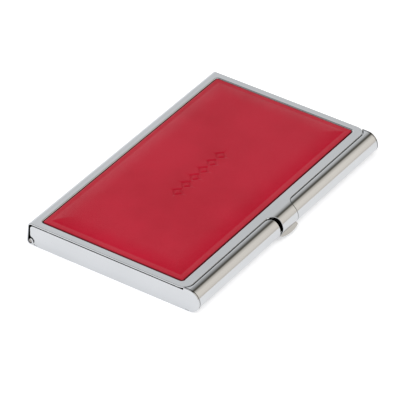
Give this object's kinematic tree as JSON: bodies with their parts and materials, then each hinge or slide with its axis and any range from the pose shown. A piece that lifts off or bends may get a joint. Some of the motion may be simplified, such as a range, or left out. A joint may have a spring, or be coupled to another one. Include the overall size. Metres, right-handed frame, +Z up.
{
  "type": "card holder",
  "caption": "Slim hinged metal pocket case for visiting cards, with a rolled front edge, a curved thumb tongue and a padded leather inlay set into the lid.",
  "frame": {"origin": "middle of the closed case's outline seen from above, on the surface that the tray's underside rests on", "axes": "+X along the hinge and the long side, +Y from the thumb lip at the front to the hinge at the rear, +Z up through the lid"},
  "size_m": [0.093, 0.059, 0.0081],
  "materials": {
    "plated_sheet": "polished",
    "pin_wire": "drawn wire",
    "spring_strip": "satin",
    "magnet": "nickel plated",
    "adhesive": "matt",
    "board": "raw",
    "foam": "soft foam",
    "leather": "smooth, lightly grained"
  },
  "bodies": {
    "tray": {"base_tray": "plated_sheet", "end_plate_left": "plated_sheet", "end_plate_right": "plated_sheet", "hinge_pin": "pin_wire", "card_spring_foot": "spring_strip", "closing_magnet": "magnet"},
    "lid": {"lid_shell": "plated_sheet", "adhesive_sheet": "adhesive", "backing_board": "board", "foam_pad": "foam", "leather_cover": "leather"},
    "spring": {"card_spring_arm": "spring_strip"}
  },
  "joints": [
    {"name": "lid_hinge", "type": "hinge", "parent": "tray", "child": "lid", "pos_m": [0, 0.0284, 0.0011], "axis": [-1, 0, 0], "range_deg": [0, 93]},
    {"name": "card_spring_press", "type": "hinge", "parent": "tray", "child": "spring", "pos_m": [-0.026, 0.001, 0.00045], "axis": [0, 1, 0], "range_deg": [0, 1.7], "stiffness_Nm_per_rad": 1}
  ]
}
